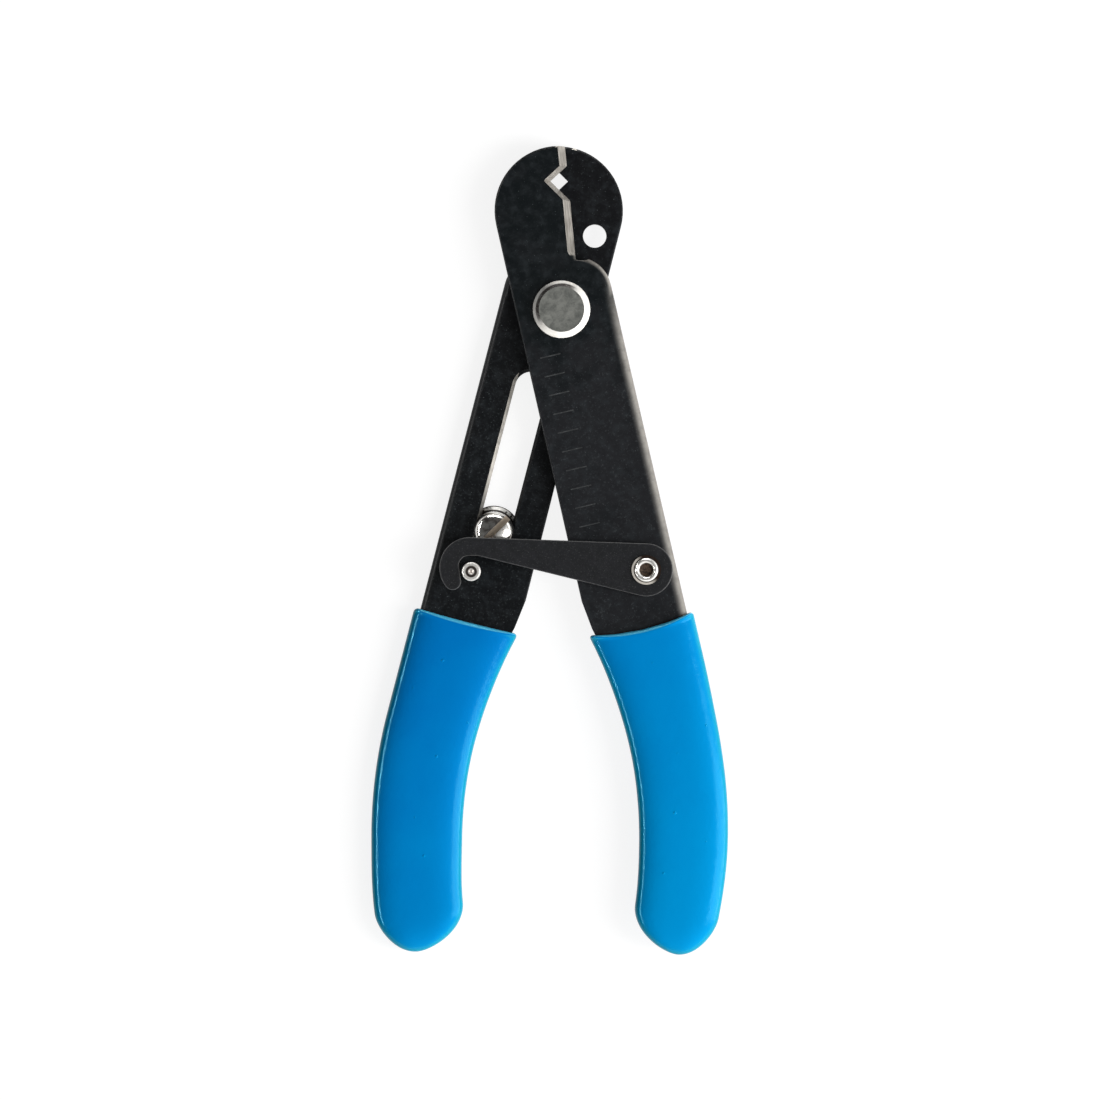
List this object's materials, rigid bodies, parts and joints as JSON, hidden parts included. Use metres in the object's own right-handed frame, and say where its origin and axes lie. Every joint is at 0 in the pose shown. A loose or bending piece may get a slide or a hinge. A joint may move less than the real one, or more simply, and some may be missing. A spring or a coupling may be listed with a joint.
{
  "type": "wire stripper",
  "caption": "Flat adjustable wire stripper with scissor jaws, a ground wire notch, a sliding stop screw, a handle latch and dipped grips.",
  "frame": {"origin": "bottom centre of the tool's box, lying flat on the back of its rear grip", "axes": "+Y along the closed tool's middle line towards the jaws, +Z out of the front lever's face, +X to the right as seen from the front"},
  "size_m": [0.0576, 0.1297, 0.0078],
  "materials": {
    "black_oxide": "black oxide plate, tumbled edges",
    "black_latch": "black oxide, satin",
    "blue_vinyl": "dipped vinyl, glossy",
    "nickel": "nickel plated",
    "spring_wire": "spring wire"
  },
  "bodies": {
    "front_handle": {"front_lever": "black_oxide", "front_grip": "blue_vinyl", "latch_washer": "nickel"},
    "pivot": {"pivot_rivet": "nickel", "pivot_washer": "nickel", "opening_spring": "spring_wire"},
    "rear_handle": {"rear_lever": "black_oxide", "rear_grip": "blue_vinyl", "latch_pin": "nickel"},
    "latch_swivel": {"latch_rivet": "nickel"},
    "latch": {"latch_arm": "black_latch"},
    "stop_carriage": {"stop_nut": "nickel"},
    "stop_head": {"stop_screw": "nickel"}
  },
  "joints": [
    {"name": "handle_open", "type": "hinge", "parent": "front_handle", "child": "pivot", "pos_m": [0.00064, 0.03862, 0.0034], "axis": [0, 0, -1], "range_deg": [0, 18]},
    {"name": "handle_close", "type": "hinge", "parent": "pivot", "child": "rear_handle", "pos_m": [0.00064, 0.03862, 0.0034], "axis": [0, 0, -1], "range_deg": [-8, 0], "stiffness_Nm_per_rad": 0.12, "springref_deg": 28.65},
    {"name": "latch_release", "type": "hinge", "parent": "front_handle", "child": "latch_swivel", "pos_m": [0.01478, -0.00297, 0.00345], "axis": [0, 0, -1], "range_deg": [0, 110]},
    {"name": "latch_swing", "type": "hinge", "parent": "latch_swivel", "child": "latch", "pos_m": [0.01478, -0.00297, 0.00345], "axis": [0, 0, -1], "range_deg": [0, 60]},
    {"name": "stop_slide", "type": "slide", "parent": "rear_handle", "child": "stop_carriage", "axis": [0.2385, 0.9711, 0], "range_m": [0, 0.014]},
    {"name": "stop_turn", "type": "hinge", "parent": "stop_carriage", "child": "stop_head", "pos_m": [-0.00977, 0.00282, 0.00345], "axis": [0, 0, 1], "range_deg": [0, 180]}
  ],
  "couplings": [
    {"joint": "latch_release", "follows": "handle_open", "ratio": 6}
  ]
}
